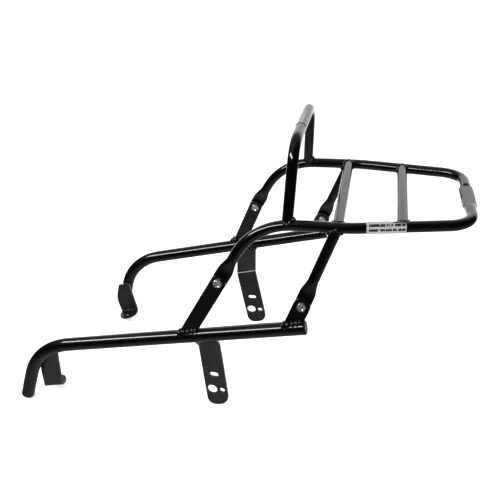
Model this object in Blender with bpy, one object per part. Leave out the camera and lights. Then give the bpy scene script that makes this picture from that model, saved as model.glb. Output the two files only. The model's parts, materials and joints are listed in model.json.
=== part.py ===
"""Rear luggage carrier for a motorcycle: a bent-tube rack bolted to two tubular side arms.

Lengths are in metres. The rack frame used below has X rearwards, Y to the right-hand side and
Z up, with the front crossbar on X = 0 and the rails' centre lines on Z = 0. An empty moves all
of it, so that the world's origin lies midway between the slots of the two side plates.
"""

import math

import bmesh
import bpy
from mathutils import Vector

# General
GAP = 0.0003  # clearance between pieces that touch
FOOT_GAP = 0.0006  # the same under the straight foot of a flat bar on a tube
SIDES = 16  # facets around a tube
BEND_STEP = math.radians(10)  # turn between the stations of a tube bend
WALL = 0.002  # tube wall
LEFT, RIGHT = -1, 1  # sign of Y on each side
SIDE_NAMES = {LEFT: "left", RIGHT: "right"}
RACK_PLACE = Vector((0.187, 0.0, 0.279))  # rack frame's origin in the world

# Rack: one loop of tube, a hoop, two crossbars and two struts, all of the same tube
TUBE_R = 0.008
RAIL_Y = 0.1255  # half the distance between the rails
TAPER_X = 0.020  # the rails run parallel up to here and then draw together
TAPER = 0.186  # how fast they do, Y over X
REAR_X = 0.1838
REAR_BEND_R = 0.040
REAR_FLAT_HALF = 0.031  # half the length of the pressed flat in the rear run
REAR_FLAT_BLEND = 0.009
REAR_FLAT_T = 0.0095  # thickness of the pressed flat
REAR_FLAT_W = 0.0215
LEG_X = {LEFT: -0.117, RIGHT: -0.114}  # where a leg's line meets its rail's line
LEG_ANGLE = math.radians(59.8)  # legs below the horizontal
LEG_BEND_R = 0.095
LEG_SPLAY = math.atan(0.150)  # legs outwards from the vertical
REAR_CROSSBAR_X = 0.0883
HOOP_X = -0.0703
HOOP_LEAN = 0.065  # rearwards, X over Z
HOOP_DRAFT = 0.25  # how fast its legs draw together, Y over Z
HOOP_Z = 0.110
HOOP_BEND_R = 0.042
HOOP_START = 0.030  # from its foot to the first full section of a leg
STRUT_X = 0.0004
STRUT_ANGLE = math.atan(1 / 0.395)
STRUT_SPLAY = math.atan(0.225)

# Pressed lug on the end of a leg or strut, with the bolt hole at the centre of its round end
LUG_R = 0.012
LUG_T = 0.004
LUG_FLAT = 0.030  # from the tip to the end of the flat
LUG_BLEND = 0.023  # from there to the full round
FRONT_BOLT_Z = -0.0915
REAR_BOLT_Z = -0.1145

# Bolted joint, M8
BOLT_R = 0.004
BOLT_HOLE_R = 0.0045
HEAD_R = 0.0070  # to a corner
HEAD_T = 0.0053
DISH_R = 0.0045
DISH_DEPTH = 0.0009
WASHER_R = 0.008
WASHER_T = 0.0016
NUT_T = 0.0065
BOLT_END = 0.0025  # thread standing out of the nut

# Side arms
ARM_R = 0.0109
ARM_Y = 0.1568  # at X = 0, before the shift that puts both tabs on the left of their lugs
ARM_SPREAD = 0.033  # Y over X
ARM_Z = -0.1388
ARM_RISE = 0.206  # Z over X
ARM_REAR_X = -0.0385
TAB_W = {"front": 0.0235, "rear": 0.0255}
TAB_T = 0.004
REAR_TAB_LEAN = 0.016  # how far a rear tab's foot stands ahead of its bolt
TAB_OFFSET = LUG_T / 2 + GAP + TAB_T / 2  # tab's mid plane from its lug's
ARMS = {  # the right arm is the shorter one
    LEFT: {"lift": 0.0, "bend_x": -0.4915, "bend_r": 0.110, "drop": math.radians(69.5),
           "end_z": -0.3445, "tab_x": -0.2265, "plate_x": -0.194, "plate_lean": 0.097,
           "foot_x": -0.4876, "foot_z": -0.3357, "strap_top": (-0.4812, -0.250)},
    RIGHT: {"lift": 0.0008, "bend_x": -0.429, "bend_r": 0.095, "drop": math.radians(76.0),
            "end_z": -0.316, "tab_x": -0.207, "plate_x": -0.178, "plate_lean": 0.150,
            "foot_x": -0.4397, "foot_z": -0.3388, "strap_top": (-0.4520, -0.2765)},
}
PLUG_T = 0.003
PLUG_DEPTH = 0.012

# Side plates and front brackets, of flat strap
STRAP_W = 0.0365
STRAP_T = 0.004
STRAP_BEND_R = 0.005
PLATE_BEND_Y = 0.1178
PLATE_BEND_Z = -0.222
PLATE_END_Y = 0.1252
PLATE_END_Z = -0.3375
PLATE_CORNER_R = 0.015
SLOT_Z = -0.279
SLOT_R = 0.0045
SLOT_HALF = 0.0030  # half the distance between the slot's end centres
HOLES_Z = -0.3085
BIG_HOLE = (-0.0072, 0.0083)  # (X from the plate's middle line, radius)
SMALL_HOLE = (0.0098, 0.0045)
BRACKET_W = 0.0355
BRACKET_CORNER = (0.029, 0.013)  # cut off the front top corner: (height, width)
FOOT_Y = 0.1256
FOOT_LENGTH = 0.0275
FOOT_HOLE_R = 0.0045
FOOT_HOLE_IN = 0.0107  # from the tip

# Welds and labels
HOOP_BEAD = 0.0022  # radius of the round beads at the hoop's feet
FILLET = 0.0030  # leg of the fillet welds round the flat bars
FILLET_FULLNESS = 0.15
FILLET_STEPS = 3  # around each corner of a bar
LABEL_T = 0.0004
LABEL_X = (0.038, 0.0915)
LABEL_STEP_X = (0.067, 0.0755)  # its upper edge drops here, to clear the rear crossbar
HOOP_LABEL_Y = (-0.030, 0.032)
UP = Vector((0, 0, 1))
REARWARDS = Vector((1, 0, 0))


def clear_scene():
    for obj in list(bpy.data.objects):
        bpy.data.objects.remove(obj)


def make_material(name, colour, roughness, metallic):
    material = bpy.data.materials.new(name)
    material.use_nodes = True
    shader = material.node_tree.nodes["Principled BSDF"]
    shader.inputs["Base Color"].default_value = (*colour, 1)
    shader.inputs["Roughness"].default_value = roughness
    shader.inputs["Metallic"].default_value = metallic
    return material


def smooth_step(t):
    t = min(max(t, 0.0), 1.0)
    return t * t * (3 - 2 * t)


# Paths and rings


def bent_path(corners):
    """Stations (point, tangent, up) along straight runs joined by arcs.

    A corner is (point, bend radius, up). A radius of 0 adds a plain station.
    """
    stations = []
    for i, (here, radius, up) in enumerate(corners):
        into = (here - corners[max(i, 1) - 1][0]).normalized()
        out = (corners[min(i + 1, len(corners) - 1)][0] - here).normalized()
        if radius == 0:
            stations.append((here, into if i else out, up))
            continue
        turn = into.angle(out)
        start = here - into * radius * math.tan(turn / 2)
        inwards = (out - into * into.dot(out)).normalized()
        steps = max(2, math.ceil(turn / BEND_STEP))
        for k in range(steps + 1):
            a = turn * k / steps
            point = start + inwards * radius * (1 - math.cos(a)) + into * radius * math.sin(a)
            stations.append((point, into * math.cos(a) + inwards * math.sin(a), up))
    return stations


def path_lengths(stations):
    lengths = [0.0]
    for (before, _, _), (here, _, _) in zip(stations, stations[1:]):
        lengths.append(lengths[-1] + (here - before).length)
    return lengths


def stadium(angle, half_width, half_thickness):
    """A point of a flat-sided outline with round ends, at a quarter of the turn for each."""
    flat = half_width - half_thickness
    turned = (angle + math.pi / 4) % (2 * math.pi) - math.pi / 4
    quarter, rest = divmod(turned + math.pi / 4, math.pi / 2)
    sign = 1 if quarter < 2 else -1
    if quarter % 2 == 0:
        swing = 2 * rest - math.pi / 2
        return (sign * (flat + half_thickness * math.cos(swing)),
                sign * half_thickness * math.sin(swing))
    return sign * flat * (1 - 4 * rest / math.pi), sign * half_thickness


def ring(station, radius, flatness=0.0, half_width=0.0, half_thickness=0.0, upright=False,
         sides=SIDES):
    """Points round a station: a circle, blended by flatness into a pressed flat.

    The flat's wide side lies along the station's up vector, or across it where upright is set.
    """
    centre, tangent, up = station
    a = (up - tangent * tangent.dot(up)).normalized()
    b = tangent.cross(a)
    turn = math.pi / 2 if upright else 0.0
    points = []
    for k in range(sides):
        angle = 2 * math.pi * k / sides
        x, y = radius * math.cos(angle), radius * math.sin(angle)
        if flatness:
            wide, thin = stadium(angle - turn, half_width, half_thickness)
            flat = (-thin, wide) if upright else (wide, thin)
            x += (flat[0] - x) * flatness
            y += (flat[1] - y) * flatness
        points.append(centre + a * x + b * y)
    return points


def reach_tube(point, direction, axis_point, axis, radius):
    """The first point on a line that lies at this distance from a tube's centre line."""
    offset = point - axis_point
    offset -= axis * offset.dot(axis)
    across = direction - axis * direction.dot(axis)
    half_b = offset.dot(across)
    root = half_b**2 - across.length_squared * (offset.length_squared - radius**2)
    return point + direction * (-half_b - math.sqrt(max(root, 0.0))) / across.length_squared


def onto_tube(point, axis_point, axis, radius):
    """The nearest point that lies at this distance from a tube's centre line."""
    offset = point - axis_point
    along = axis * offset.dot(axis)
    return axis_point + along + (offset - along).normalized() * radius


def cope(points, direction, axis_point, axis, radius):
    """A tube's end ring cut to sit on another tube."""
    return [reach_tube(p, direction, axis_point, axis, radius) for p in points]


def cope_strut(points, direction, side):
    """A strut's end ring cut to sit on its rail and, inside that, on the front crossbar."""
    top = rail_point(side, STRUT_X)
    reach = TUBE_R + GAP
    ends = []
    for p in points:
        on_rail = reach_tube(p, direction, top, REARWARDS, reach)
        on_bar = reach_tube(p, direction, Vector((0, 0, 0)), Vector((0, 1, 0)), reach + GAP)
        inside = abs(on_bar.y) < RAIL_Y + 0.001 and math.hypot(on_bar.x, on_bar.z) < reach + 2 * GAP
        ends.append(on_bar if inside and on_bar.z < on_rail.z else on_rail)
    return ends


# Meshes


def add_skin(bm, rings, outside=True):
    """Quads between rings. Returns the rings' vertices."""
    verts = [[bm.verts.new(p) for p in points] for points in rings]
    for row, following in zip(verts, verts[1:]):
        for k in range(len(row)):
            n = (k + 1) % len(row)
            quad = [row[k], row[n], following[n], following[k]]
            bm.faces.new(quad if outside else quad[::-1])
    return verts


def close_end(bm, outer, inner, at_start):
    """An end face, or the annulus round an opening where there is an inner ring."""
    if inner is None:
        bm.faces.new(outer[::-1] if at_start else outer)
        return
    for k in range(len(outer)):
        n = (k + 1) % len(outer)
        quad = [outer[k], outer[n], inner[n], inner[k]]
        bm.faces.new(quad[::-1] if at_start else quad)


def add_tube(bm, outer_rings, inner_rings=None, open_start=False, open_end=False):
    """A closed shape from rings, hollow where inner rings are given."""
    outer = add_skin(bm, outer_rings)
    inner = add_skin(bm, inner_rings, outside=False) if inner_rings else [None, None]
    close_end(bm, outer[0], inner[0] if open_start else None, True)
    close_end(bm, outer[-1], inner[-1] if open_end else None, False)
    if inner_rings and not open_start:
        bm.faces.new(inner[0])
    if inner_rings and not open_end:
        bm.faces.new(inner[-1][::-1])


def make_object(name, bm, material, parent, smooth_angle=40):
    mesh = bpy.data.meshes.new(name)
    bmesh.ops.remove_doubles(bm, verts=bm.verts, dist=1e-6)
    bm.to_mesh(mesh)
    bm.free()
    mesh.shade_smooth()
    mesh.set_sharp_from_angle(angle=math.radians(smooth_angle))
    mesh.materials.append(material)
    obj = bpy.data.objects.new(name, mesh)
    obj.parent = parent
    bpy.context.scene.collection.objects.link(obj)
    return obj


def drill(obj, centre, axis, radius, depth, stretch=0.0, along=None, sides=16):
    """Cuts a round hole or, with a stretch along a direction, a slot."""
    axis = axis.normalized()
    a = (along or REARWARDS).normalized()
    a = (a - axis * axis.dot(a)).normalized()
    b = axis.cross(a)
    outline = []
    for k in range(sides):
        angle = 2 * math.pi * (k + 0.5) / sides
        shift = stretch if math.cos(angle) > 0 else -stretch
        outline.append(a * (radius * math.cos(angle) + shift) + b * radius * math.sin(angle))
    bm = bmesh.new()
    add_tube(bm, [[centre + p + axis * h for p in outline] for h in (-depth / 2, depth / 2)])
    mesh = bpy.data.meshes.new("cutter")
    bm.to_mesh(mesh)
    bm.free()
    cutter = bpy.data.objects.new(f"cut_{obj.name}_{len(obj.modifiers)}", mesh)
    cutter.parent = obj.parent
    cutter.hide_render = True
    cutter.display_type = "WIRE"
    bpy.context.scene.collection.objects.link(cutter)
    modifier = obj.modifiers.new("hole", "BOOLEAN")
    modifier.object = cutter
    modifier.operation = "DIFFERENCE"


def strap_rings(stations, width_at, thickness):
    """Rectangular rings whose wide side keeps the station's up vector."""
    rings = []
    for (centre, tangent, up), half in zip(stations, width_at):
        across = tangent.cross(up).normalized() * thickness / 2
        rings.append([centre + up * half + across, centre - up * half + across,
                      centre - up * half - across, centre + up * half - across])
    return rings


# Rack


def leg_frame(side, splay):
    """(down, normal): the steepest line of a splayed plane, and the normal that points to +Y."""
    down = Vector((0, side * math.sin(splay), -math.cos(splay)))
    return down, Vector((0, math.cos(splay), side * math.sin(splay)))


def sloping(side, splay, angle):
    """Direction of a leg or strut, downwards and forwards in its splayed plane."""
    down, _ = leg_frame(side, splay)
    return (down * math.sin(angle) - REARWARDS * math.cos(angle)).normalized()


def bolt_place(side, top, direction, bolt_z):
    """Where the line from the rail crosses the height of the bolt."""
    return top + direction * (bolt_z / direction.z)


def lug_section(distance):
    """(flatness, half width) at a distance from the tip of a pressed end."""
    half_width = LUG_R
    if distance < LUG_R:
        half_width = math.sqrt(max(LUG_R**2 - (LUG_R - distance) ** 2, (LUG_T / 2) ** 2))
    return 1 - smooth_step((distance - LUG_FLAT) / LUG_BLEND), half_width


LUG_STATIONS = [0.0002, 0.0016, 0.0045, 0.0085, LUG_R, LUG_FLAT] + [
    LUG_FLAT + LUG_BLEND * t for t in (0.2, 0.4, 0.6, 0.8, 1.0)
]


def lug_corners(tip, back, up):
    """Plain stations from the tip of a pressed end back to the full round."""
    return [(tip + back * d, 0, up) for d in LUG_STATIONS]


def rail_point(side, x):
    return Vector((x, side * (RAIL_Y - TAPER * max(x - TAPER_X, 0)), 0))


def rail_axis(side, x):
    return Vector((1, -side * TAPER if x > TAPER_X else 0, 0)).normalized()


def front_joint(side):
    """(bolt centre, direction down the leg)."""
    direction = sloping(side, LEG_SPLAY, LEG_ANGLE)
    return bolt_place(side, rail_point(side, LEG_X[side]), direction, FRONT_BOLT_Z), direction


def rear_joint(side):
    direction = sloping(side, STRUT_SPLAY, STRUT_ANGLE)
    return bolt_place(side, rail_point(side, STRUT_X), direction, REAR_BOLT_Z), direction


def loop_corners(side):
    """Corners of half the loop, from the tip of its leg to the rear run."""
    bolt, direction = front_joint(side)
    tip = bolt + direction * LUG_R
    down, _ = leg_frame(side, LEG_SPLAY)
    corners = lug_corners(tip, -direction, -down)
    corners.append((rail_point(side, LEG_X[side]), LEG_BEND_R, -down))
    corners.append((rail_point(side, TAPER_X), 0.12, UP))
    corners.append((rail_point(side, REAR_X), REAR_BEND_R, UP))
    ends = (REAR_FLAT_HALF + REAR_FLAT_BLEND, REAR_FLAT_HALF + REAR_FLAT_BLEND / 2, REAR_FLAT_HALF)
    corners += [(Vector((REAR_X, side * y, 0)), 0, UP) for y in ends]
    return corners


def loop_rings(stations, inset):
    """Rings of the loop, made smaller by inset for its bore."""
    lengths = path_lengths(stations)
    rings = []
    for station, length in zip(stations, lengths):
        flatness, half_width = lug_section(min(length, lengths[-1] - length))
        thickness, upright = LUG_T / 2, False
        if station[0].x > REAR_X - 0.001:
            flatness = 1 - smooth_step((abs(station[0].y) - REAR_FLAT_HALF) / REAR_FLAT_BLEND)
            half_width, thickness, upright = REAR_FLAT_W / 2, REAR_FLAT_T / 2, True
        rings.append(ring(station, TUBE_R - inset, flatness, half_width - inset,
                          thickness - inset, upright))
    return rings


def make_loop(material, parent):
    corners = loop_corners(LEFT) + loop_corners(RIGHT)[::-1]
    stations = bent_path(corners)
    pressed = len(LUG_STATIONS) - 1
    bore = loop_rings(stations, WALL)[pressed:-pressed]
    bm = bmesh.new()
    add_tube(bm, loop_rings(stations, 0), bore)
    loop = make_object("rack_loop", bm, material, parent)
    for side in (LEFT, RIGHT):
        bolt, _ = front_joint(side)
        _, normal = leg_frame(side, LEG_SPLAY)
        drill(loop, bolt, normal, BOLT_HOLE_R, 4 * LUG_T)
        # A vent inside each end of the front crossbar keeps the bore from being sealed
        wall = rail_point(side, 0) - Vector((0, side * TUBE_R, 0))
        drill(loop, wall, Vector((0, 1, 0)), 0.0025, 3 * WALL, sides=8)


def coped_tube(name, start, end, start_side, end_side, material, parent):
    """A straight tube between two rails."""
    direction = (end - start).normalized()
    bm = bmesh.new()
    skins = []
    for radius in (TUBE_R, TUBE_R - WALL):
        middle = ring(((start + end) / 2, direction, UP), radius)
        skins.append([
            cope(middle, -direction, start, rail_axis(start_side, start.x), TUBE_R + GAP),
            cope(middle, direction, end, rail_axis(end_side, end.x), TUBE_R + GAP),
        ])
    add_tube(bm, skins[0], skins[1], open_start=True, open_end=True)
    make_object(name, bm, material, parent)


def make_crossbar(name, x, material, parent):
    coped_tube(name, rail_point(LEFT, x), rail_point(RIGHT, x), LEFT, RIGHT, material, parent)


def hoop_axis(side):
    """(foot, direction up the leg)."""
    direction = Vector((HOOP_LEAN, -side * HOOP_DRAFT, 1)).normalized()
    return rail_point(side, HOOP_X), direction


def make_hoop(material, parent):
    corners = []
    for side in (LEFT, RIGHT):
        foot, direction = hoop_axis(side)
        start = foot + direction * HOOP_START
        shoulder = foot + direction * (HOOP_Z / direction.z)
        pair = [(start, 0, REARWARDS), (shoulder, HOOP_BEND_R, REARWARDS)]
        corners += pair if side == LEFT else pair[::-1]
    stations = bent_path(corners)
    skins = []
    for radius in (TUBE_R, TUBE_R - WALL):
        rings = [ring(s, radius) for s in stations]
        for index, side in ((0, LEFT), (-1, RIGHT)):
            foot, direction = hoop_axis(side)
            rings[index] = cope(rings[index], -direction, foot, REARWARDS, TUBE_R + GAP)
        skins.append(rings)
    bm = bmesh.new()
    add_tube(bm, skins[0], skins[1], open_start=True, open_end=True)
    make_object("hoop", bm, material, parent)


def make_strut(side, material, parent):
    bolt, direction = rear_joint(side)
    down, normal = leg_frame(side, STRUT_SPLAY)
    top = rail_point(side, STRUT_X)
    corners = lug_corners(bolt + direction * LUG_R, -direction, -down)
    corners.append((top + direction * 0.02, 0, -down))
    stations = bent_path(corners)
    lengths = path_lengths(stations)
    skins = []
    for inset in (0, WALL):
        rings = []
        for station, length in zip(stations, lengths):
            flatness, half_width = lug_section(length)
            rings.append(ring(station, TUBE_R - inset, flatness, half_width, LUG_T / 2))
        rings[-1] = cope_strut(rings[-1], -direction, side)
        skins.append(rings)
    bm = bmesh.new()
    add_tube(bm, skins[0], skins[1][len(LUG_STATIONS) - 1:], open_end=True)
    strut = make_object(f"strut_{SIDE_NAMES[side]}", bm, material, parent)
    drill(strut, bolt, normal, BOLT_HOLE_R, 4 * LUG_T)


# Side arms


def arm_point(side, x):
    """A point on the straight part of an arm's centre line."""
    return Vector((x, side * (ARM_Y + ARM_SPREAD * x) - TAB_OFFSET,
                   ARM_Z + ARMS[side]["lift"] + ARM_RISE * x))


def arm_axis(side):
    return (arm_point(side, 0) - arm_point(side, -1)).normalized()


def arm_drop(side):
    """Direction of the arm's front end, downwards and forwards."""
    forwards = -arm_axis(side)
    level = Vector((forwards.x, forwards.y, 0)).normalized()
    drop = ARMS[side]["drop"]
    return level * math.cos(drop) - UP * math.sin(drop)


def arm_path(side):
    arm = ARMS[side]
    bend = arm_point(side, arm["bend_x"])
    drop = arm_drop(side)
    end = bend + drop * ((arm["end_z"] - bend.z) / drop.z)
    sideways = Vector((0, 1, 0))
    return bent_path([
        (end, 0, sideways),
        (bend, arm["bend_r"], sideways),
        (arm_point(side, ARM_REAR_X - PLUG_T), 0, sideways),
    ])


def make_arm(side, materials, parent):
    name = SIDE_NAMES[side]
    stations = arm_path(side)
    bm = bmesh.new()
    outer = [ring(s, ARM_R) for s in stations]
    inner = [ring(s, ARM_R - WALL) for s in stations]
    add_tube(bm, outer, inner, open_start=True, open_end=True)
    make_object(f"arm_tube_{name}", bm, materials["coat"], parent)
    front, rear = stations[0], stations[-1]
    make_plug(f"front_plug_{name}", front[0], -front[1], materials["plug"], parent)
    make_plug(f"rear_plug_{name}", rear[0], rear[1], materials["plug"], parent)


def make_plug(name, mouth, outwards, material, parent):
    """A push-in end plug: a hollow spigot in the bore and a domed rim over the tube's end."""
    bore = ARM_R - WALL - GAP
    profile = [  # (distance out of the mouth, radius)
        (-PLUG_DEPTH, bore - 0.0016), (-PLUG_DEPTH, bore), (GAP, bore), (GAP, ARM_R),
        (PLUG_T - 0.0015, ARM_R), (PLUG_T - 0.0004, ARM_R - 0.0011), (PLUG_T, ARM_R - 0.0030),
    ]
    up = Vector((0, 1, 0))
    bm = bmesh.new()
    rings = [ring((mouth + outwards * d, outwards, up), r) for d, r in profile]
    hollow = [ring((mouth + outwards * d, outwards, up), bore - 0.0016)
              for d in (-PLUG_DEPTH, -0.001)]
    add_tube(bm, rings, hollow, open_start=True)
    make_object(name, bm, material, parent)


def make_tab(name, side, bolt, foot_x, splay, width, material, parent):
    """A flat bar from the arm's top to a lug, round at the top."""
    _, normal = leg_frame(side, splay)
    centre = bolt - normal * TAB_OFFSET
    foot = arm_point(side, foot_x)
    lengthwise = centre - foot
    lengthwise = (lengthwise - normal * lengthwise.dot(normal)).normalized()
    across = normal.cross(lengthwise)
    half = width / 2
    outline = [centre + (across * math.cos(a) + lengthwise * math.sin(a)) * half
               for a in (math.pi * k / 10 for k in range(11))]
    rim = ARM_R + FOOT_GAP
    faces = []
    for offset in (-TAB_T / 2, TAB_T / 2):
        shift = normal * offset
        ends = [reach_tube(p + shift, -lengthwise, foot, arm_axis(side), rim)
                for p in (centre - across * half, centre + across * half)]
        faces.append([p + shift for p in outline] + ends)
    bm = bmesh.new()
    add_tube(bm, faces)
    tab = make_object(name, bm, material, parent)
    drill(tab, centre, normal, BOLT_HOLE_R, 4 * TAB_T)
    return foot, centre, lengthwise, across


def plate_ends(side):
    """(joint on the arm's centre line, bend, end) of a side plate's middle line."""
    arm = ARMS[side]
    x, lean = arm["plate_x"], arm["plate_lean"]
    bend = Vector((x - lean * (PLATE_BEND_Z - SLOT_Z), side * PLATE_BEND_Y - TAB_OFFSET / 2,
                   PLATE_BEND_Z))
    end = Vector((x - lean * (PLATE_END_Z - SLOT_Z), side * PLATE_END_Y - TAB_OFFSET / 2,
                  PLATE_END_Z))
    return arm_point(side, bend.x - 0.004), bend, end


def make_side_plate(side, material, parent):
    """A strap that leaves the arm inwards and downwards, then bends to hang down."""
    joint, bend, end = plate_ends(side)
    along = arm_axis(side)
    upper = (bend - joint).normalized()
    lower = (end - bend).normalized()
    start = reach_tube(bend, -upper, joint, along, ARM_R + FOOT_GAP)
    corners = [(start, 0, along), (bend, STRAP_BEND_R, along)]
    rounding = [PLATE_CORNER_R * t for t in (1.0, 0.6, 0.3, 0.1, 0.0)]
    corners += [(end - lower * d, 0, along) for d in rounding]
    stations = bent_path(corners)
    widths = [STRAP_W / 2] * len(stations)
    for k, d in enumerate(rounding):
        inner = PLATE_CORNER_R - d
        widths[k - len(rounding)] -= PLATE_CORNER_R - math.sqrt(PLATE_CORNER_R**2 - inner**2)
    bm = bmesh.new()
    add_tube(bm, strap_rings(stations, widths, STRAP_T))
    plate = make_object(f"side_plate_{SIDE_NAMES[side]}", bm, material, parent, 30)
    normal = lower.cross(along).normalized()
    for z, shift, radius, stretch in (
        (SLOT_Z, 0.0, SLOT_R, SLOT_HALF),
        (HOLES_Z, *BIG_HOLE, 0.0),
        (HOLES_Z, *SMALL_HOLE, 0.0),
    ):
        centre = bend + lower * ((z - bend.z) / lower.z) + REARWARDS * shift
        drill(plate, centre, normal, radius, 4 * STRAP_T, stretch)


def make_bracket(side, material, parent):
    """A flat strap on the inner side of the arm's end, with a drilled foot bent inwards."""
    arm = ARMS[side]
    x, z = arm["strap_top"]
    across = arm_axis(side)
    across = Vector((across.x, 0, across.z)).normalized()
    inner_y = abs(arm_point(side, x).y) - ARM_R - FOOT_GAP - STRAP_T / 2
    top = Vector((x, side * inner_y, z))
    heel = Vector((arm["foot_x"], side * FOOT_Y - TAB_OFFSET / 2, arm["foot_z"]))
    inwards = Vector((0, -side, 0))
    toe = heel + inwards * FOOT_LENGTH
    height, width = BRACKET_CORNER
    shoulder = top + (heel - top).normalized() * height
    corners = [(top + across * width / 2, 0, across), (shoulder, 0, across),
               (heel, STRAP_BEND_R, across)]
    half = BRACKET_W / 2
    rounding = [half * t for t in (0.9, 0.6, 0.35, 0.15, 0.02)]
    corners += [(toe - inwards * d, 0, across) for d in rounding]
    stations = bent_path(corners)
    widths = [half] * len(stations)
    widths[0] -= width / 2
    for k, d in enumerate(rounding):
        widths[k - len(rounding)] = math.sqrt(half**2 - (half - d) ** 2)
    bm = bmesh.new()
    add_tube(bm, strap_rings(stations, widths, STRAP_T))
    bracket = make_object(f"front_bracket_{SIDE_NAMES[side]}", bm, material, parent, 30)
    drill(bracket, toe - inwards * FOOT_HOLE_IN, UP, FOOT_HOLE_R, 4 * STRAP_T)


# Fasteners


def hexagon_ring(centre, axis, radius):
    """Twelve points: a hexagon's corners and the middles of its sides."""
    corners = ring((centre, axis, REARWARDS), radius, sides=6)
    return [point for k in range(6)
            for point in (corners[k], (corners[k] + corners[(k + 1) % 6]) / 2)]


def round_ring(centre, axis, radius):
    return ring((centre, axis, REARWARDS), radius, sides=12)


def make_bolt(name, seat, outwards, length, material, parent):
    """A hex-head bolt with a dished head. The seat is the centre of the head's underside."""
    profile = [
        (-length, BOLT_R - 0.0008, round_ring), (0.0008 - length, BOLT_R, round_ring),
        (0, BOLT_R, round_ring), (0, HEAD_R, hexagon_ring), (HEAD_T - 0.001, HEAD_R, hexagon_ring),
        (HEAD_T, HEAD_R * 0.85, round_ring), (HEAD_T, DISH_R, round_ring),
        (HEAD_T - DISH_DEPTH, DISH_R * 0.8, round_ring),
    ]
    bm = bmesh.new()
    add_tube(bm, [outline(seat + outwards * d, outwards, r) for d, r, outline in profile])
    make_object(name, bm, material, parent, 30)


def make_pierced(name, low, axis, thickness, outline, radius, hole_radius, material, parent):
    """A washer or a nut: an outline of twelve points with a round hole."""
    heights = (0, thickness)
    bm = bmesh.new()
    add_tube(bm, [outline(low + axis * h, axis, radius) for h in heights],
             [round_ring(low + axis * h, axis, hole_radius) for h in heights],
             open_start=True, open_end=True)
    make_object(name, bm, material, parent, 30)


def make_joint(name, bolt, normal, zinc, parent):
    """Bolt, washer and nut through a tab and its lug. Heads face left, like the tabs."""
    seat = bolt - normal * (TAB_OFFSET + TAB_T / 2 + GAP)
    washer = bolt + normal * (LUG_T / 2 + GAP)
    nut = washer + normal * (WASHER_T + GAP)
    make_pierced(f"{name}_washer", washer, normal, WASHER_T, round_ring, WASHER_R, BOLT_HOLE_R,
                 zinc, parent)
    make_pierced(f"{name}_nut", nut, normal, NUT_T, hexagon_ring, HEAD_R, BOLT_R + GAP, zinc,
                 parent)
    length = (nut - seat).length + NUT_T + BOLT_END
    make_bolt(f"{name}_bolt", seat, -normal, length, zinc, parent)


# Welds


def closed_band(name, rows, material, parent, smooth_angle):
    """A ring whose sections, all with the same number of points, are joined into one skin."""
    bm = bmesh.new()
    verts = [[bm.verts.new(p) for p in row] for row in rows]
    for row, after in zip(verts, verts[1:] + verts[:1]):
        for k in range(len(row)):
            n = (k + 1) % len(row)
            bm.faces.new([row[k], row[n], after[n], after[k]])
    bmesh.ops.recalc_face_normals(bm, faces=bm.faces)
    make_object(name, bm, material, parent, smooth_angle)


def make_bead(name, loop, direction, centre, axis_point, axis, size, material, parent):
    """A round weld bead: the points of a loop round a tube, pushed down onto a rail."""
    line = [reach_tube(p, direction, axis_point, axis, TUBE_R + GAP + size) for p in loop]
    rows = []
    for k, point in enumerate(line):
        along = line[(k + 1) % len(line)] - line[k - 1]
        outwards = along.cross(direction).normalized()
        if outwards.dot(point - centre) < 0:
            outwards = -outwards
        rise = along.cross(outwards).normalized()
        rows.append([point + (outwards * math.cos(a) + rise * math.sin(a)) * size
                     for a in (2 * math.pi * n / 6 for n in range(6))])
    closed_band(name, rows, material, parent, 80)


def bar_outline(half_length, half_thickness):
    """Half the outline of a bar: (x, y, direction outwards), with a fan at each corner."""
    fan = [math.pi / 2 * k / FILLET_STEPS for k in range(FILLET_STEPS + 1)]
    spots = [(half_length, half_thickness * t, 0.0) for t in (-0.5, 0.0, 0.5)]
    spots += [(half_length, half_thickness, turn) for turn in fan]
    spots += [(half_length * t, half_thickness, math.pi / 2) for t in (0.6, 0.2, -0.2, -0.6)]
    spots += [(-half_length, half_thickness, math.pi / 2 + turn) for turn in fan]
    return spots


def bar_fillet(name, middle, direction, along, half_length, half_thickness, foot, axis, material,
               parent):
    """The weld round the foot of a flat bar on an arm: a fillet with a slightly full face."""
    along = (along - direction * along.dot(direction)).normalized()
    across = direction.cross(along)
    rows = []
    for sign in (1, -1):
        for x, y, angle in bar_outline(half_length, half_thickness):
            corner = middle + (along * x + across * y) * sign
            outwards = (along * math.cos(angle) + across * math.sin(angle)) * sign
            near = reach_tube(corner + outwards * GAP, direction, foot, axis, ARM_R + GAP)
            far = onto_tube(near + outwards * FILLET, foot, axis, ARM_R + GAP)
            top = near - direction * FILLET
            face = (top + far) / 2
            rows.append([near, far, face + (face - near) * FILLET_FULLNESS, top])
    closed_band(name, rows, material, parent, 50)


def make_hoop_welds(material, parent):
    for side, name in SIDE_NAMES.items():
        foot, direction = hoop_axis(side)
        loop = ring((foot + direction * HOOP_START, -direction, REARWARDS),
                    TUBE_R + GAP + HOOP_BEAD, sides=14)
        make_bead(f"hoop_weld_{name}", loop, -direction, foot, foot, REARWARDS, HOOP_BEAD,
                  material, parent)


# Labels


def make_label(name, stations, first_angles, last_angle, material, parent):
    """A thin sticker wrapped part of the way round a rack tube, with angles from its up vector."""
    steps = 12
    bm = bmesh.new()
    rings = []
    for (point, tangent, up), first in zip(stations, first_angles):
        a = (up - tangent * tangent.dot(up)).normalized()
        b = tangent.cross(a)
        angles = [first + (last_angle - first) * k / steps for k in range(steps + 1)]
        rows = [(TUBE_R + GAP + LABEL_T, angles), (TUBE_R + GAP, angles[::-1])]
        rings.append([point + (a * math.cos(t) + b * math.sin(t)) * r for r, turn in rows
                      for t in turn])
    add_tube(bm, rings)
    make_object(name, bm, material, parent)


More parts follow.
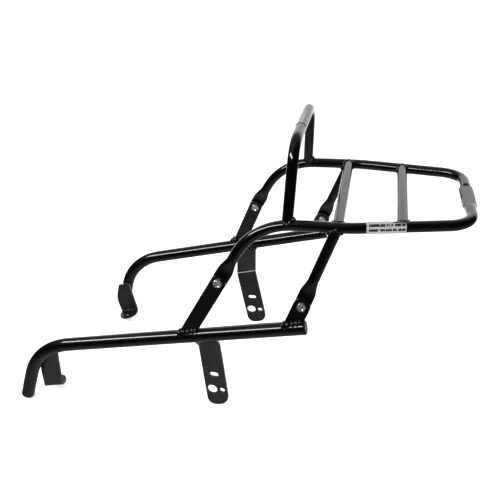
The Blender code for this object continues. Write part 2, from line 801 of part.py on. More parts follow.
def make_labels(silver, white, parent):
    low, high = LABEL_STEP_X
    steps = [(low + (high - low) * k / 5, math.radians(-27 + 51 * k / 5)) for k in range(6)]
    edge = [(LABEL_X[0], steps[0][1]), *steps, (LABEL_X[1], steps[-1][1])]
    tangent = rail_axis(LEFT, LABEL_X[0])
    make_label("load_label", [(rail_point(LEFT, x), tangent, UP) for x, _ in edge],
               [angle for _, angle in edge], math.radians(150), silver, parent)
    foot, direction = hoop_axis(LEFT)
    middle = foot + direction * (HOOP_Z / direction.z)
    stations = [(Vector((middle.x, y, middle.z)), Vector((0, 1, 0)), UP) for y in HOOP_LABEL_Y]
    make_label("hoop_label", stations, (-math.radians(75),) * 2, math.radians(75), white, parent)


def main():
    clear_scene()
    materials = {
        "coat": make_material("black_coat", (0.012, 0.012, 0.013), 0.25, 0.0),
        "plate": make_material("black_plate", (0.025, 0.025, 0.027), 0.4, 0.0),
        "zinc": make_material("zinc", (0.75, 0.77, 0.80), 0.25, 1.0),
        "plug": make_material("black_plug", (0.02, 0.02, 0.02), 0.5, 0.0),
        "silver": make_material("silver_label", (0.70, 0.70, 0.72), 0.4, 0.3),
        "patch": make_material("white_label", (0.80, 0.80, 0.82), 0.4, 0.0),
    }
    rack = bpy.data.objects.new("rack_place", None)
    rack.location = RACK_PLACE
    bpy.context.scene.collection.objects.link(rack)
    coat, plate = materials["coat"], materials["plate"]

    make_loop(coat, rack)
    make_hoop(coat, rack)
    make_crossbar("front_crossbar", 0.0, coat, rack)
    make_crossbar("rear_crossbar", REAR_CROSSBAR_X, coat, rack)
    make_hoop_welds(coat, rack)
    for side, name in SIDE_NAMES.items():
        make_strut(side, coat, rack)
        make_arm(side, materials, rack)
        front_bolt, _ = front_joint(side)
        rear_bolt, rear_direction = rear_joint(side)
        rear_foot_x = rear_bolt.x - REAR_TAB_LEAN
        for place, bolt, foot_x, splay in (
            ("front", front_bolt, ARMS[side]["tab_x"], LEG_SPLAY),
            ("rear", rear_bolt, rear_foot_x, STRUT_SPLAY),
        ):
            foot, middle, lengthwise, across = make_tab(
                f"{place}_tab_{name}", side, bolt, foot_x, splay, TAB_W[place], plate, rack)
            bar_fillet(f"{place}_tab_weld_{name}", middle, -lengthwise, across,
                       TAB_W[place] / 2, TAB_T / 2, foot, arm_axis(side), coat, rack)
            make_joint(f"{place}_{name}", bolt, leg_frame(side, splay)[1], materials["zinc"],
                       rack)
        make_side_plate(side, plate, rack)
        joint, bend, _ = plate_ends(side)
        bar_fillet(f"side_plate_weld_{name}", bend, (joint - bend).normalized(), arm_axis(side),
                   STRAP_W / 2, STRAP_T / 2, joint, arm_axis(side), coat, rack)
        make_bracket(side, plate, rack)
    make_labels(materials["silver"], materials["patch"], rack)


main()
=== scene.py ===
"""Studio scene of a motorcycle's rear luggage carrier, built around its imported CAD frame.

Each faceted CAD node is rebuilt as a smooth curved mesh that stands for it, the welds are laid
as rippled beads along the joints that the frame has, and every finish is a node material.
"""

import json
import math

import bmesh
import bpy
import numpy as np
from mathutils import Matrix, Vector
from mathutils.bvhtree import BVHTree


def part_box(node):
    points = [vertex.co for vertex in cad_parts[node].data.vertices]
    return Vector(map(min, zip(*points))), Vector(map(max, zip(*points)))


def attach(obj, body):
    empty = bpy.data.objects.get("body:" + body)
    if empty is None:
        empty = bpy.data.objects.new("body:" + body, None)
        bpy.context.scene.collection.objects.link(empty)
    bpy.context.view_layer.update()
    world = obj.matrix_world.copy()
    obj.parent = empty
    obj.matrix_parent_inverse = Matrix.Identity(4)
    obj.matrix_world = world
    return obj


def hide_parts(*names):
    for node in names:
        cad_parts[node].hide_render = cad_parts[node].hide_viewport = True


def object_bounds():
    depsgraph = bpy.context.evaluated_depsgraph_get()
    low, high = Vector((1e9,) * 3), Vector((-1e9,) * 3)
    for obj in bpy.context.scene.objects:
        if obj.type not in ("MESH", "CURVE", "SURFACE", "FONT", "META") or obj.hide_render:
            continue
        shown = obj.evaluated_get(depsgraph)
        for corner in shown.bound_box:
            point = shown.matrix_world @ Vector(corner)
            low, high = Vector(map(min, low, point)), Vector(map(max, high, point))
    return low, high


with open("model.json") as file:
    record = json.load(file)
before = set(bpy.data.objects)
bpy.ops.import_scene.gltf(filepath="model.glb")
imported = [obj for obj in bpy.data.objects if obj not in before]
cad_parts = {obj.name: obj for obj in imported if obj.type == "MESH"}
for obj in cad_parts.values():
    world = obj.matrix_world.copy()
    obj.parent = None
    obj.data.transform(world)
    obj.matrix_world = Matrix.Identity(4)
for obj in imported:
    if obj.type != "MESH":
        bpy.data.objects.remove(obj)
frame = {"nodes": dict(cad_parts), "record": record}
cad_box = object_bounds()
BODY = "root"

# Camera
CAMERA_PLACE = Vector((0.24036, -0.93793, 0.67632))
CAMERA_AZIMUTH = math.radians(-12.3123)  # from +Y towards +X
CAMERA_DOWN = math.radians(27.8794)
CAMERA_ROLL = math.radians(-2.3942)
SENSOR = 36.0
LENS = 46.8
CAMERA_SHIFT = (-0.0013, -0.0007)

# Curved meshes
WELD_DISTANCE = 2e-6  # points nearer than this are one
COPLANAR = math.radians(0.4)
CREASE = math.radians(33)  # a sharper edge than this stays an edge
SPLITS = 3  # each CAD triangle's side is cut into this many
ROUNDING_STEPS = 3
EDGE_ROUNDING = {  # radius worn onto the edges of each kind of piece
    "plate_coat": 0.0007,
    "zinc": 0.00025,
    "plug": 0.0006,
}
TAB_ROUNDING = 0.0006
TUBE_END_ROUNDING = 0.0004

# Weld beads
BEAD_RADIUS = 0.0021
BEAD_STEP = 0.0005
RIPPLE_PITCH = 1.3  # times the bead's radius
RIPPLE_DEPTH = 0.34
FLUSH_SIZE = 0.75  # bead size where the two surfaces run into each other
FLUSH_SINK = 0.4  # and how much deeper it lies there, as a share of its radius
BEAD_SINK = 0.05  # share of its radius that a bead's middle lies under the seam
UNEVENNESS = 0.08  # how far one ripple's size differs from the next
END_SIZE = 0.03  # how near to nothing an open bead shrinks at its ends
TAB_BEAD = 2.5  # size of the welds at the tabs' feet, times the radius
BAR_BEAD = 1.7  # and of those on the rack's tubes
BEAD_BLOB = 0.7  # how much a bead swells at its starting corner
BLOB_REACH = 1.4  # and how far along, times its radius
BEAD_SIDES = 12
BEAD_SMOOTHING = 3
TUBE_REACH = 0.0012  # how near its target an edge is where a bead runs along it
TAB_REACH = 0.0016
PLATE_REACH = 0.0020
BRACKET_REACH = 0.0030
SHORTEST_RUN = 0.008  # a bracket's shorter seams get no bead
SIDES = ((-1, "left"), (1, "right"))  # sign of Y, and the word for it


# Curved meshes from CAD facets


def merged_mesh(node, rounding=0.0):
    """The node's surface with coplanar triangles joined, and its edges rounded if asked."""
    bm = bmesh.new()
    bm.from_mesh(frame["nodes"][node].data)
    bmesh.ops.remove_doubles(bm, verts=bm.verts, dist=WELD_DISTANCE)
    bmesh.ops.dissolve_limit(bm, angle_limit=COPLANAR, verts=bm.verts, edges=bm.edges)
    if rounding:
        bmesh.ops.bevel(
            bm, geom=[e for e in bm.edges if is_crease(e)], offset=rounding, offset_type="OFFSET",
            segments=ROUNDING_STEPS, profile=0.5, affect="EDGES", clamp_overlap=True)
        bmesh.ops.dissolve_degenerate(bm, edges=bm.edges, dist=WELD_DISTANCE)
    bm.normal_update()
    return bm


def is_crease(edge):
    """Whether the surface turns sharply at the edge, or ends there."""
    return not edge.is_manifold or edge.calc_face_angle(0.0) > CREASE


def corner_normals(bm):
    """Each face corner's normal: the area-weighted mean of the faces it joins without a crease."""
    areas = {face: face.calc_area() for face in bm.faces}
    creases = {edge for edge in bm.edges if is_crease(edge)}
    normals = {}
    for vert in bm.verts:
        waiting = set(vert.link_loops)
        while waiting:
            fan = [waiting.pop()]
            for corner in fan:
                for edge in (corner.edge, corner.link_loop_prev.edge):
                    if edge in creases:
                        continue
                    for loop in edge.link_loops:
                        beside = loop if loop.vert is vert else loop.link_loop_next
                        if beside in waiting:
                            waiting.remove(beside)
                            fan.append(beside)
            mean = sum((c.face.normal * areas[c.face] for c in fan), Vector())
            mean = mean.normalized() if mean.length > 0 else fan[0].face.normal.copy()
            for corner in fan:
                normals[corner] = mean
    return normals, creases


def triangle_data(bm):
    """Corner points, corner normals, and the normals across each triangle's creased edges."""
    normals, creases = corner_normals(bm)
    points, own, across = [], [], []
    for triangle in bm.calc_loop_triangles():
        points.append([c.vert.co for c in triangle])
        own.append([normals[c] for c in triangle])
        pairs = []
        for k, corner in enumerate(triangle):
            after = triangle[(k + 1) % 3]
            pair = [normals[corner], normals[after]]
            if corner.link_loop_next is after and corner.edge in creases:
                other = next((o for o in corner.edge.link_loops if o is not corner), None)
                if other is not None:
                    pair = [normals[other.link_loop_next], normals[other]]
            pairs.append(pair)
        across.append(pairs)
    return (np.array(points, float), np.array(own, float), np.array(across, float))


def edge_control(start, end, normal, beyond):
    """The control point near start of the curve that an edge follows."""
    reach = end - start
    mean = normal + beyond
    mean /= np.maximum(np.linalg.norm(mean, axis=1, keepdims=True), 1e-12)
    smooth = reach - (reach * mean).sum(1, keepdims=True) * mean
    crease = np.cross(normal, beyond)
    size = np.linalg.norm(crease, axis=1, keepdims=True)
    crease /= np.maximum(size, 1e-12)
    along = (reach * crease).sum(1, keepdims=True) * crease
    return start + np.where(size > 0.3, along, smooth) / 3


def curved_patches(points, own, across, splits):
    """Every triangle as a cubic patch that meets its neighbours, cut into smaller triangles."""
    near = {}
    for k in range(3):
        after = (k + 1) % 3
        near[k, after] = edge_control(points[:, k], points[:, after], own[:, k], across[:, k, 0])
        near[after, k] = edge_control(points[:, after], points[:, k], own[:, after], across[:, k, 1])
    middle = sum(near.values()) / 6
    middle = middle + (middle - points.mean(1)) / 2
    grid = [(i, j) for i in range(splits + 1) for j in range(splits + 1 - i)]
    place = {ij: k for k, ij in enumerate(grid)}
    surface = np.empty((len(points), len(grid), 3))
    shading = np.empty_like(surface)
    for (i, j), k in place.items():
        share = np.array((splits - i - j, i, j)) / splits
        spot = 6 * share[0] * share[1] * share[2] * middle
        for a in range(3):
            spot = spot + share[a] ** 3 * points[:, a]
        for (a, b), control in near.items():
            spot = spot + 3 * share[a] ** 2 * share[b] * control
        surface[:, k] = spot
        shading[:, k] = sum(share[a] * own[:, a] for a in range(3))
    cells = []
    for i in range(splits):
        for j in range(splits - i):
            cells.append((place[i, j], place[i + 1, j], place[i, j + 1]))
            if i + j < splits - 1:
                cells.append((place[i + 1, j], place[i + 1, j + 1], place[i, j + 1]))
    return surface, shading, np.array(cells)


def mesh_object(name, verts, faces, corner_shading):
    mesh = bpy.data.meshes.new(name)
    mesh.from_pydata(verts.tolist(), [], faces.tolist())
    mesh.shade_smooth()
    mesh.normals_split_custom_set(corner_shading.tolist())
    obj = bpy.data.objects.new(name, mesh)
    bpy.context.scene.collection.objects.link(obj)
    return obj


def curved_copy(name, node, rounding=0.0):
    """A new piece with the node's shape, its facets turned into curved surfaces."""
    bm = merged_mesh(node, rounding)
    surface, shading, cells = curved_patches(*triangle_data(bm), SPLITS)
    bm.free()
    count = surface.shape[1]
    faces = (np.arange(len(surface))[:, None, None] * count + cells[None]).reshape(-1, 3)
    points = surface.reshape(-1, 3)
    _, first, index = np.unique(
        np.round(points / WELD_DISTANCE).astype(np.int64), axis=0, return_index=True,
        return_inverse=True)
    index = index.reshape(-1)
    welded = index[faces]
    whole = ((welded[:, 0] != welded[:, 1]) & (welded[:, 1] != welded[:, 2])
             & (welded[:, 0] != welded[:, 2]))
    shading = shading.reshape(-1, 3)
    shading /= np.maximum(np.linalg.norm(shading, axis=1, keepdims=True), 1e-12)
    piece = mesh_object(name, points[first], welded[whole], shading[faces[whole]].reshape(-1, 3))
    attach(piece, BODY)
    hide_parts(node)
    return piece


# Weld beads


def seam_runs(piece, target, reach, side=0):
    """Lines of points along the piece's edges that lie within reach of the target's surface."""
    skin = merged_mesh(target)
    tree = BVHTree.FromBMesh(skin)
    bm = merged_mesh(piece)
    spots, links = {}, {}
    for edge in filter(is_crease, bm.edges):
        a, b = edge.verts
        steps = max(1, round(edge.calc_length() / (2 * BEAD_STEP)))
        keys = [a.index] + [(edge.index, k) for k in range(1, steps)] + [b.index]
        for k, key in enumerate(keys):
            spots[key] = a.co.lerp(b.co, k / steps)
        for first, second in zip(keys, keys[1:]):
            ends = [spots[first], spots[second]]
            if all(tree.find_nearest(p)[3] < reach and side * p.y >= 0 for p in ends):
                links.setdefault(first, []).append(second)
                links.setdefault(second, []).append(first)
    runs = []
    while links:
        start = next((k for k in links if len(links[k]) == 1), next(iter(links)))
        run, spot = [start], start
        while links.get(spot):
            after = links[spot].pop()
            links[after].remove(spot)
            if not links[spot]:
                del links[spot]
            run.append(after)
            spot = after
        links = {k: v for k, v in links.items() if v}
        runs.append([spots[k].copy() for k in run])
    trees = BVHTree.FromBMesh(bm), tree
    bm.free()
    skin.free()
    return sorted(runs, key=line_length, reverse=True), trees


def line_length(points):
    return sum((b - a).length for a, b in zip(points, points[1:]))


def even_line(points, closed, smoothing):
    """The line with evenly spaced points and its corners eased."""
    count = max(8, round(line_length(points) / BEAD_STEP))
    lengths = np.cumsum([0.0] + [(b - a).length for a, b in zip(points, points[1:])])
    wanted = np.linspace(0, lengths[-1], count + 1)
    co = np.array(points, float)
    line = np.stack([np.interp(wanted, lengths, co[:, k]) for k in range(3)], axis=1)
    if closed:
        line = line[:-1]
    for _ in range(smoothing):
        if closed:
            line = (np.roll(line, 1, 0) + 2 * line + np.roll(line, -1, 0)) / 4
        else:
            line[1:-1] = (line[:-2] + 2 * line[1:-1] + line[2:]) / 4
    return line


def make_bead(name, points, trees, radius, seed, blob=None):
    """A rippled bead of weld metal along a line of points where a piece meets its target."""
    piece_tree, tree = trees
    closed = (points[0] - points[-1]).length < 2 * BEAD_STEP
    line = even_line(points, closed, BEAD_SMOOTHING)
    count = len(line)
    rng = np.random.default_rng(seed)
    ripples = max(3, round(count * BEAD_STEP / (RIPPLE_PITCH * radius)))
    phase = np.arange(count) * ripples / count
    uneven = rng.uniform(-1, 1, ripples + 1)
    if closed:
        uneven[-1] = uneven[0]
    swell = np.interp(phase, np.arange(ripples + 1), uneven)
    scale = 1 + RIPPLE_DEPTH * (np.abs(np.sin(math.pi * phase)) - 0.5) + UNEVENNESS * swell
    if blob is not None:
        distance = np.linalg.norm(line - np.array(blob), axis=1)
        scale += BEAD_BLOB * np.exp(-((distance / (BLOB_REACH * radius)) ** 2))
    if not closed:
        ends = np.minimum(np.arange(count), count - 1 - np.arange(count)) * BEAD_STEP / radius
        scale *= np.sqrt(1 - (1 - np.clip(ends, END_SIZE, 1)) ** 2)
    rows = []
    for k, spot in enumerate(line):
        before = line[k - 1] if closed or k else line[0]
        after = line[(k + 1) % count] if closed or k + 1 < count else line[-1]
        along = Vector(after - before).normalized()
        away = tree.find_nearest(Vector(spot))[1]
        flush = max(0.0, away.dot(piece_tree.find_nearest(Vector(spot) + away * radius)[1]))
        away = (away - along * away.dot(along)).normalized()
        beside = along.cross(away)
        reach = radius * scale[k] * (1 - (1 - FLUSH_SIZE) * flush)
        middle = Vector(spot) - away * reach * (BEAD_SINK + FLUSH_SINK * flush)
        rows.append([middle + (away * math.sin(a) + beside * math.cos(a)) * reach
                     for a in (2 * math.pi * n / BEAD_SIDES for n in range(BEAD_SIDES))])
    bm = bmesh.new()
    verts = [[bm.verts.new(v) for v in row] for row in rows]
    for k in range(count if closed else count - 1):
        row, after = verts[k], verts[(k + 1) % count]
        for n in range(BEAD_SIDES):
            m = (n + 1) % BEAD_SIDES
            bm.faces.new([row[n], row[m], after[m], after[n]])
    if not closed:
        bm.faces.new(verts[0])
        bm.faces.new(verts[-1])
    bmesh.ops.recalc_face_normals(bm, faces=bm.faces)
    mesh = bpy.data.meshes.new(name)
    bm.to_mesh(mesh)
    bm.free()
    mesh.shade_smooth()
    bead = bpy.data.objects.new(name, mesh)
    bpy.context.scene.collection.objects.link(bead)
    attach(bead, BODY)
    return bead


def seam_bead(name, piece, target, reach, size, seed, side=0):
    """A bead along the longest seam of a piece on its target."""
    runs, trees = seam_runs(piece, target, reach, side)
    return make_bead(name, runs[0], trees, BEAD_RADIUS * size, seed)


def tab_bead(end, side, word):
    """A heavier bead around a tab's foot, with a blob at its outer front corner."""
    runs, trees = seam_runs(f"{end}_tab_{word}", f"arm_tube_{word}", TAB_REACH)
    corner = min(runs[0], key=lambda p: p.x + p.y)
    bead = make_bead(f"{end}_tab_bead_{word}", runs[0], trees, BEAD_RADIUS * TAB_BEAD,
                     40 + side, corner)
    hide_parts(f"{end}_tab_weld_{word}")
    return bead


def bracket_beads(word):
    runs, trees = seam_runs(f"front_bracket_{word}", f"arm_tube_{word}", BRACKET_REACH)
    long_runs = [run for run in runs if line_length(run) > SHORTEST_RUN]
    return [make_bead(f"front_bracket_weld_{word}_{k + 1}", run, trees, BEAD_RADIUS, 60 + k)
            for k, run in enumerate(long_runs)]


def lay_welds():
    """A bead along every welded joint that the frame has."""
    beads = []
    for bar in ("front_crossbar", "rear_crossbar"):
        for side, word in SIDES:
            beads.append(seam_bead(f"{bar}_weld_{word}", bar, "rack_loop", TUBE_REACH, BAR_BEAD,
                                   7 + side, side))
    for side, word in SIDES:
        hoop_bead = seam_bead(f"hoop_bead_{word}", "hoop", "rack_loop", TUBE_REACH, BAR_BEAD,
                              20 + side, side)
        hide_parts(f"hoop_weld_{word}")
        beads.append(hoop_bead)
        beads.append(seam_bead(f"strut_weld_{word}", f"strut_{word}", "rack_loop", TUBE_REACH,
                               BAR_BEAD, 30 + side))
        for end in ("front", "rear"):
            beads.append(tab_bead(end, side, word))
        bead = seam_bead(f"side_plate_bead_{word}", f"side_plate_{word}", f"arm_tube_{word}",
                         PLATE_REACH, 1.0, 50 + side)
        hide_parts(f"side_plate_weld_{word}")
        beads.append(bead)
        beads.extend(bracket_beads(word))
    return beads


# Materials

DUST = (0.12, 0.12, 0.125, 1)
DUST_SHARE = 0.03
LOAD_ROWS = ((0.36, 0.58), (0.76, 0.93))  # shares of the label's height
HOOP_ROWS = ((0.16, 0.36), (0.46, 0.62))  # shares of the label's width


class NodeMaterial:
    """A node material with short calls for adding and joining its nodes."""

    def __init__(self, name, colour, roughness, metallic=0.0):
        self.material = bpy.data.materials.new(name)
        self.material.use_nodes = True
        self.tree = self.material.node_tree
        self.shader = self.tree.nodes["Principled BSDF"]
        self.shader.inputs["Base Color"].default_value = (*colour, 1)
        self.shader.inputs["Roughness"].default_value = roughness
        self.shader.inputs["Metallic"].default_value = metallic
        self.place = self.add("ShaderNodeTexCoord").outputs["Object"]

    def add(self, kind, values=None, **settings):
        """A node with these settings, whose inputs hold the values or come from sockets."""
        node = self.tree.nodes.new(kind)
        for name, value in settings.items():
            setattr(node, name, value)
        for name, value in (values or {}).items():
            self.put(node.inputs[name], value)
        return node

    def put(self, socket, value):
        if isinstance(value, bpy.types.NodeSocket):
            self.tree.links.new(value, socket)
        else:
            socket.default_value = value

    def noise(self, scale, detail=2.0, place=None):
        node = self.add("ShaderNodeTexNoise", {"Vector": place or self.place, "Scale": scale,
                                               "Detail": detail})
        return node.outputs["Fac"]

    def stretched(self, scale):
        """Object coordinates stretched along some of the axes."""
        return self.add("ShaderNodeMapping", {"Vector": self.place, "Scale": scale}).outputs[0]

    def between(self, fac, low, high, from_low=0.0, from_high=1.0):
        return self.add("ShaderNodeMapRange", {
            "Value": fac, "From Min": from_low, "From Max": from_high, "To Min": low,
            "To Max": high}).outputs[0]

    def mixed(self, fac, first, second):
        node = self.add("ShaderNodeMix", data_type="RGBA")
        self.put(node.inputs[0], fac)
        self.put(node.inputs[6], first)
        self.put(node.inputs[7], second)
        return node.outputs[2]

    def math(self, operation, first, second):
        return self.add("ShaderNodeMath", {0: first, 1: second}, operation=operation).outputs[0]

    def bump(self, height, strength, distance, normal=None):
        values = {"Height": height, "Strength": strength, "Distance": distance}
        if normal is not None:
            values["Normal"] = normal
        return self.add("ShaderNodeBump", values).outputs[0]

    def shade(self, **values):
        for name, value in values.items():
            self.put(self.shader.inputs[name.replace("_", " ")], value)


def powder_coat(name, colour, cloud, roughness, spread, peel):
    """Baked powder coat: orange peel, cloudy gloss and a few specks of dust."""
    m = NodeMaterial(name, colour, roughness)
    cloudy = m.noise(38, 4)
    dust = m.between(m.noise(2600, 1), 0.0, DUST_SHARE, 0.66, 0.74)
    tone = m.mixed(m.between(cloudy, 0.0, 1.0, 0.35, 0.75), (*colour, 1), (*cloud, 1))
    tone = m.mixed(dust, tone, DUST)
    normal = m.bump(m.noise(420, 3), peel, 0.00025)
    normal = m.bump(m.noise(1500, 2), peel * 0.8, 0.00008, normal)
    m.shade(Base_Color=tone, Normal=normal,
            Roughness=m.between(cloudy, roughness - spread, roughness + spread, 0.3, 0.7))
    return m.material


def zinc_plate():
    """Bright passivated zinc: bluish, with darker blotches and fine turning marks."""
    m = NodeMaterial("zinc_plating", (0.74, 0.80, 0.88), 0.22, 0.9)
    patches = m.between(m.noise(420, 3), 0.0, 1.0, 0.46, 0.62)
    marks = m.noise(900, 3, m.stretched((1, 0.15, 1)))
    m.shade(Base_Color=m.mixed(patches, (0.80, 0.86, 0.92, 1), (0.20, 0.24, 0.27, 1)),
            Roughness=m.between(m.noise(700, 3), 0.14, 0.32, 0.3, 0.7),
            Normal=m.bump(marks, 0.25, 0.0001))
    return m.material


def moulded_plastic():
    """Matt black moulded plastic with a fine grain."""
    m = NodeMaterial("plug_plastic", (0.004, 0.004, 0.004), 0.4)
    tone = m.mixed(m.noise(120, 3), (0.003, 0.003, 0.003, 1), (0.006, 0.006, 0.0065, 1))
    m.shade(Base_Color=tone, Specular_IOR_Level=0.15,
            Roughness=m.between(m.noise(300, 2), 0.34, 0.48, 0.3, 0.7),
            Normal=m.bump(m.noise(1800, 2), 0.2, 0.0001))
    return m.material


def film_label(name, colour, ink, rows, along, gloss):
    """Film printed with rows of plain bars, on a slightly wavy, creased surface."""
    m = NodeMaterial(name, colour, gloss)
    axes = m.add("ShaderNodeSeparateXYZ", {0: m.place}).outputs
    printed = None
    for axis, low, high in rows:
        over = m.math("GREATER_THAN", axes[axis], low)
        row = m.math("MULTIPLY", over, m.math("LESS_THAN", axes[axis], high))
        printed = row if printed is None else m.math("MAXIMUM", printed, row)
    cells = m.noise(1.0, 0.0, m.stretched(along))
    bars = m.math("MULTIPLY", printed, m.between(cells, 0.0, 1.0, 0.38, 0.42))
    m.shade(Base_Color=m.mixed(bars, (*colour, 1), (*ink, 1)),
            Normal=m.bump(m.noise(160, 3), 0.15, 0.0004),
            Roughness=m.between(m.noise(400, 2), gloss - 0.06, gloss + 0.10, 0.3, 0.7))
    return m.material


def make_materials():
    low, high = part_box("load_label")
    load_rows = [("Z", low.z + (high.z - low.z) * a, low.z + (high.z - low.z) * b)
                 for a, b in LOAD_ROWS]
    low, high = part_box("hoop_label")
    hoop_rows = [("X", low.x + (high.x - low.x) * a, low.x + (high.x - low.x) * b)
                 for a, b in HOOP_ROWS]
    return {
        "tube_coat": powder_coat("tube_powder_coat", (0.0005, 0.0005, 0.0006),
                                 (0.0010, 0.0010, 0.0012), 0.11, 0.03, 0.03),
        "plate_coat": powder_coat("plate_powder_coat", (0.0042, 0.0042, 0.0045),
                                  (0.0060, 0.0060, 0.0064), 0.27, 0.05, 0.04),
        "tab_coat": powder_coat("tab_powder_coat", (0.0008, 0.0008, 0.0009),
                                (0.0016, 0.0016, 0.0018), 0.15, 0.03, 0.03),
        "zinc": zinc_plate(),
        "plug": moulded_plastic(),
        "load_label": film_label("load_film", (0.38, 0.38, 0.38), (0.012, 0.012, 0.013), load_rows,
                                 (420, 90, 90), 0.32),
        "blank_label": film_label("clear_film", (0.004, 0.004, 0.004), (0.20, 0.20, 0.21),
                                  hoop_rows, (60, 330, 60), 0.12),
    }


# Camera, lights and floor

BACKDROP = 1.35  # strengths of the light from each part of the studio
CEILING = 0.34
ROOM = 0.025
GROUND = 0.39
FLOOR_SIDE = 60.0
FLOOR_GLOW = 0.55
FLOOR_DROP = 0.002  # under the lowest point
DOME_RADIUS = 28.0
DOME_GLOW = 1.2
FRONT_BOX_PLACE = (-1.34, -1.24, 1.90)
FRONT_BOX_TARGET = (0.0, 0.0, 0.15)
FRONT_BOX_SIZE = (2.6, 0.28)
FRONT_BOX_POWER = 62
FRONT_BOX_ROLL = 8  # degrees
STRIP_PLACE = (-0.80, -3.1, 0.58)
STRIP_TARGET = (0, 0.12, 0.06)
STRIP_SIZE = (1.6, 0.16)
STRIP_POWER = 150
OVERCAST_POWER = 1.5
OVERCAST_WIDTH = math.radians(120)
OVERCAST_TILT = (math.radians(12), math.radians(-8), 0)


def make_camera():
    forwards = Vector((math.sin(CAMERA_AZIMUTH) * math.cos(CAMERA_DOWN),
                       math.cos(CAMERA_AZIMUTH) * math.cos(CAMERA_DOWN), -math.sin(CAMERA_DOWN)))
    level = Vector((math.cos(CAMERA_AZIMUTH), -math.sin(CAMERA_AZIMUTH), 0))
    upright = level.cross(forwards)
    right = level * math.cos(CAMERA_ROLL) + upright * math.sin(CAMERA_ROLL)
    up = upright * math.cos(CAMERA_ROLL) - level * math.sin(CAMERA_ROLL)
    data = bpy.data.cameras.new("camera")
    data.sensor_width = SENSOR
    data.lens = LENS
    data.clip_start = 0.01
    data.shift_x, data.shift_y = CAMERA_SHIFT
    camera = bpy.data.objects.new("camera", data)
    axes = Matrix((right, up, -forwards)).transposed().to_4x4()
    camera.matrix_world = Matrix.Translation(CAMERA_PLACE) @ axes
    bpy.context.scene.collection.objects.link(camera)
    bpy.context.scene.camera = camera


def make_panel(name, place, target, size, power, roll=0.0):
    """A rectangular soft box that faces the target, turned by roll about its own axis."""
    data = bpy.data.lights.new(name, "AREA")
    data.shape = "RECTANGLE"
    data.size, data.size_y = size
    data.energy = power
    panel = bpy.data.objects.new(name, data)
    facing = (Vector(target) - Vector(place)).to_track_quat("-Z", "Y").to_matrix().to_4x4()
    panel.matrix_world = (Matrix.Translation(place) @ facing
                          @ Matrix.Rotation(math.radians(roll), 4, "Z"))
    bpy.context.scene.collection.objects.link(panel)
    return panel


def make_world():
    """The studio around the object: a pale backdrop behind, a dim ceiling, a dark room in front."""
    world = bpy.data.worlds.new("studio")
    world.use_nodes = True
    tree = world.node_tree
    shader = tree.nodes["Background"]
    axes = tree.nodes.new("ShaderNodeSeparateXYZ")
    tree.links.new(tree.nodes.new("ShaderNodeTexCoord").outputs["Generated"], axes.inputs[0])

    def ramp(value, low, high, to_low, to_high):
        node = tree.nodes.new("ShaderNodeMapRange")
        node.interpolation_type = "SMOOTHSTEP"
        tree.links.new(value, node.inputs["Value"])
        for name, number in (("From Min", low), ("From Max", high), ("To Min", to_low),
                             ("To Max", to_high)):
            node.inputs[name].default_value = number
        return node.outputs[0]

    def join(operation, first, second):
        node = tree.nodes.new("ShaderNodeMath")
        node.operation = operation
        for socket, value in zip(node.inputs, (first, second)):
            if isinstance(value, bpy.types.NodeSocket):
                tree.links.new(value, socket)
            else:
                socket.default_value = value
        return node.outputs[0]

    x, y, z = (axes.outputs[name] for name in "XYZ")
    backdrop = join("MULTIPLY", ramp(y, 0.60, 0.84, 0.0, BACKDROP),
                    ramp(join("ABSOLUTE", z, 0.0), 0.45, 0.75, 1.0, 0.12))
    ceiling = join("MULTIPLY", ramp(z, 0.25, 0.7, 0.0, CEILING),
                   ramp(join("SUBTRACT", y, x), -0.65, 0.05, 0.05, 1.0))
    ground = ramp(z, -0.95, -0.02, GROUND, ROOM)
    total = join("ADD", join("ADD", backdrop, ceiling), ground)
    tree.links.new(total, shader.inputs["Strength"])
    shader.inputs["Color"].default_value = (1, 1, 1, 1)
    bpy.context.scene.world = world


def make_floor(low):
    """A plain pale sheet, with room for any view of the object."""
    bm = bmesh.new()
    bmesh.ops.create_grid(bm, x_segments=8, y_segments=8, size=FLOOR_SIDE / 2)
    mesh = bpy.data.meshes.new("floor")
    bm.to_mesh(mesh)
    bm.free()
    floor = bpy.data.objects.new("floor", mesh)
    floor.location = (0, 0, low - FLOOR_DROP)
    floor.data.materials.append(glowing_paper("floor_paper", FLOOR_GLOW))
    floor.visible_glossy = False
    bpy.context.scene.collection.objects.link(floor)


def make_dome(low):
    """The white surroundings of the floor, which are only seen and light nothing."""
    bm = bmesh.new()
    bmesh.ops.create_uvsphere(bm, u_segments=48, v_segments=24, radius=DOME_RADIUS)
    mesh = bpy.data.meshes.new("dome")
    bm.to_mesh(mesh)
    bm.free()
    dome = bpy.data.objects.new("dome", mesh)
    dome.location = (0, 0, low)
    dome.data.materials.append(glowing_paper("dome_paper", DOME_GLOW))
    dome.visible_glossy = dome.visible_diffuse = dome.visible_shadow = False
    dome.visible_transmission = False
    bpy.context.scene.collection.objects.link(dome)


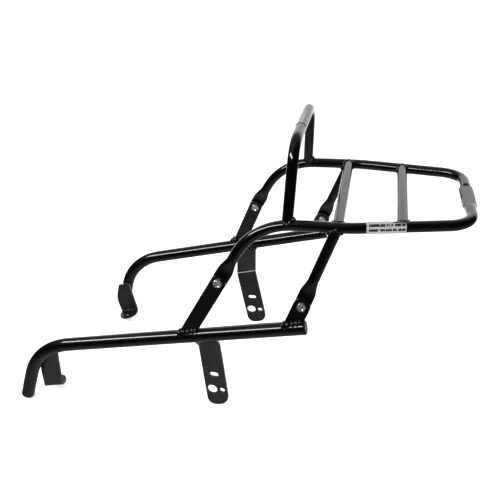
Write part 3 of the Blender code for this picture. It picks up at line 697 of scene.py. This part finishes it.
def glowing_paper(name, glow):
    paper = NodeMaterial(name, (0.86, 0.86, 0.86), 0.9)
    paper.shade(Base_Color=paper.mixed(paper.noise(3, 3), (0.85, 0.85, 0.85, 1),
                                       (0.88, 0.88, 0.88, 1)),
                Emission_Color=(1, 1, 1, 1), Emission_Strength=glow)
    return paper.material


def make_lights():
    """A soft box for the tubes, a strip for the plates' bends, and an even light from above."""
    front = make_panel("front_soft_box", FRONT_BOX_PLACE, FRONT_BOX_TARGET, FRONT_BOX_SIZE,
                       FRONT_BOX_POWER, FRONT_BOX_ROLL)
    data = bpy.data.lights.new("overcast", "SUN")
    data.energy = OVERCAST_POWER
    data.angle = OVERCAST_WIDTH
    overcast = bpy.data.objects.new("overcast", data)
    overcast.rotation_euler = OVERCAST_TILT
    overcast.visible_glossy = False
    bpy.context.scene.collection.objects.link(overcast)
    strip = make_panel("bend_strip", STRIP_PLACE, STRIP_TARGET, STRIP_SIZE, STRIP_POWER)
    plates, others = bpy.data.collections.new("plates"), bpy.data.collections.new("not_plates")
    for node in ("side_plate", "front_bracket"):
        for _, word in SIDES:
            for group in (plates, others):
                group.objects.link(bpy.data.objects[f"{node}_{word}_body"])
    for member in others.collection_objects:
        member.light_linking.link_state = "EXCLUDE"
    strip.light_linking.receiver_collection = plates
    front.light_linking.receiver_collection = others


# Build

slots = {part["node"]: part["material_slot"] for part in frame["record"]["subparts"]}
finishes = make_materials()
for node, slot in slots.items():
    if "_weld_" in node:
        continue
    rounding = EDGE_ROUNDING.get(slot, 0.0)
    if "_tab_" in node:
        rounding = TAB_ROUNDING
    if node.startswith("arm_tube"):
        rounding = TUBE_END_ROUNDING
    piece = curved_copy(f"{node}_body", node, rounding)
    piece.data.materials.append(finishes["tab_coat" if "_tab_" in node else slot])
for bead in lay_welds():
    bead.data.materials.append(finishes["tube_coat"])

make_camera()
make_world()
make_lights()
make_floor(cad_box[0].z)
make_dome(cad_box[0].z)
bpy.context.scene.view_settings.view_transform = "Standard"
